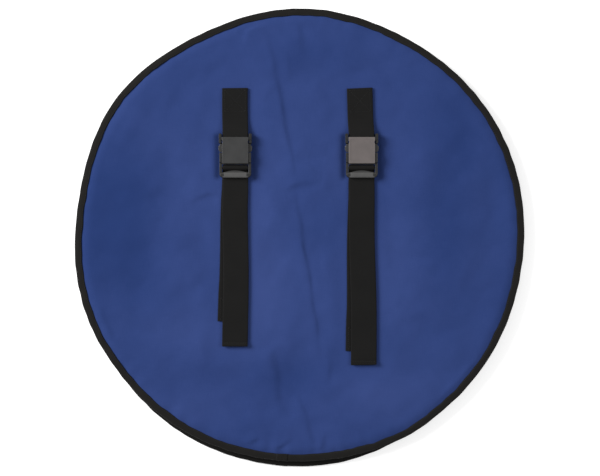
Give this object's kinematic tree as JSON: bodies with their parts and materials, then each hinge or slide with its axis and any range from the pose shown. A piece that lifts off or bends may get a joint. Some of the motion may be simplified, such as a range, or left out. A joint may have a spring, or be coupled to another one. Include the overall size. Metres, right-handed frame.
{
  "type": "spa cover",
  "caption": "Round padded fabric cover with a bound edge, a zipped edge band and parallel webbing straps with side-release buckles; it folds in half.",
  "frame": {"origin": "centre of the disc on its underside", "axes": "+Z out of the face with the straps, +Y towards the straps' short sewn ends, +X to the right seen from the front"},
  "size_m": [0.708, 0.708, 0.0354],
  "materials": {
    "blue_fabric": "matt royal-blue coated polyester canvas, fine plain weave",
    "edge_fabric": "matt black polyester canvas",
    "binding_tape": "black woven binding tape, slight sheen",
    "webbing": "black polypropylene webbing, ribbed weave",
    "thread": "black bonded sewing thread",
    "buckle_plastic": "black moulded acetal, fine satin texture",
    "foam": "light grey closed-cell foam",
    "zip_teeth": "black coil zip teeth",
    "zip_metal": "black enamelled zinc"
  },
  "bodies": {
    "cover_right": {"right_front_panel": "blue_fabric", "right_back_panel": "blue_fabric", "right_foam_core": "foam", "right_side_band": "edge_fabric", "right_front_binding": "binding_tape", "right_back_binding": "binding_tape", "right_zip_tape": "edge_fabric", "right_zip_teeth": "zip_teeth", "right_anchor_strap": "webbing", "right_anchor_stitching": "thread", "right_buckle_socket": "buckle_plastic", "right_hold_strap": "webbing", "right_hold_stitching": "thread"},
    "cover_left": {"left_front_panel": "blue_fabric", "left_back_panel": "blue_fabric", "left_foam_core": "foam", "left_side_band": "edge_fabric", "left_front_binding": "binding_tape", "left_back_binding": "binding_tape", "left_zip_tape": "edge_fabric", "left_zip_teeth": "zip_teeth", "left_anchor_strap": "webbing", "left_anchor_stitching": "thread", "left_buckle_socket": "buckle_plastic", "left_hold_strap": "webbing", "left_hold_stitching": "thread"},
    "left_plug": {"left_buckle_plug": "buckle_plastic", "left_strap_loop": "webbing"},
    "left_outer_latch": {"left_outer_latch_arm": "buckle_plastic"},
    "left_inner_latch": {"left_inner_latch_arm": "buckle_plastic"},
    "left_tail": {"left_tail_strap": "webbing", "left_tail_stitching": "thread"},
    "right_plug": {"right_buckle_plug": "buckle_plastic", "right_strap_loop": "webbing"},
    "right_outer_latch": {"right_outer_latch_arm": "buckle_plastic"},
    "right_inner_latch": {"right_inner_latch_arm": "buckle_plastic"},
    "right_tail": {"right_tail_strap": "webbing", "right_tail_stitching": "thread"},
    "zip_slider": {"zip_slider": "zip_metal"},
    "zip_pull": {"zip_pull": "zip_metal"}
  },
  "joints": [
    {"name": "cover_fold", "type": "hinge", "parent": "cover_right", "child": "cover_left", "pos_m": [0.007, 0, 0.0224], "axis": [-0.1219, 0.9925, 0], "range_deg": [0, 150]},
    {"name": "left_buckle_release", "type": "slide", "parent": "cover_left", "child": "left_plug", "axis": [0, -1, 0], "range_m": [0, 0.034], "deforming": ["left_outer_latch_arm", "left_inner_latch_arm"]},
    {"name": "left_outer_latch_squeeze", "type": "hinge", "parent": "left_plug", "child": "left_outer_latch", "pos_m": [-0.1149, 0.1243, 0.0293], "axis": [0, 0, -1], "range_deg": [0, 15], "stiffness_Nm_per_rad": 0.6},
    {"name": "left_inner_latch_squeeze", "type": "hinge", "parent": "left_plug", "child": "left_inner_latch", "pos_m": [-0.0851, 0.1243, 0.0293], "axis": [0, 0, 1], "range_deg": [0, 15], "stiffness_Nm_per_rad": 0.6},
    {"name": "left_tail_lift", "type": "hinge", "parent": "left_plug", "child": "left_tail", "pos_m": [-0.1, 0.0911, 0.0255], "axis": [1, 0, 0], "range_deg": [-80, 0]},
    {"name": "right_buckle_release", "type": "slide", "parent": "cover_right", "child": "right_plug", "axis": [0, -1, 0], "range_m": [0, 0.034], "deforming": ["right_outer_latch_arm", "right_inner_latch_arm"]},
    {"name": "right_outer_latch_squeeze", "type": "hinge", "parent": "right_plug", "child": "right_outer_latch", "pos_m": [0.1119, 0.1243, 0.0293], "axis": [0, 0, 1], "range_deg": [0, 15], "stiffness_Nm_per_rad": 0.6},
    {"name": "right_inner_latch_squeeze", "type": "hinge", "parent": "right_plug", "child": "right_inner_latch", "pos_m": [0.0821, 0.1243, 0.0293], "axis": [0, 0, -1], "range_deg": [0, 15], "stiffness_Nm_per_rad": 0.6},
    {"name": "right_tail_lift", "type": "hinge", "parent": "right_plug", "child": "right_tail", "pos_m": [0.097, 0.0911, 0.0255], "axis": [1, 0, 0], "range_deg": [-80, 0]},
    {"name": "zip_slider_run", "type": "hinge", "parent": "cover_right", "child": "zip_slider", "pos_m": [0, 0, 0.0112], "axis": [0, 0, 1], "range_deg": [-79, 0]},
    {"name": "zip_pull_swing", "type": "hinge", "parent": "zip_slider", "child": "zip_pull", "pos_m": [0.15356, -0.31485, 0.0112], "axis": [0, 0, 1], "range_deg": [0, 90]}
  ]
}
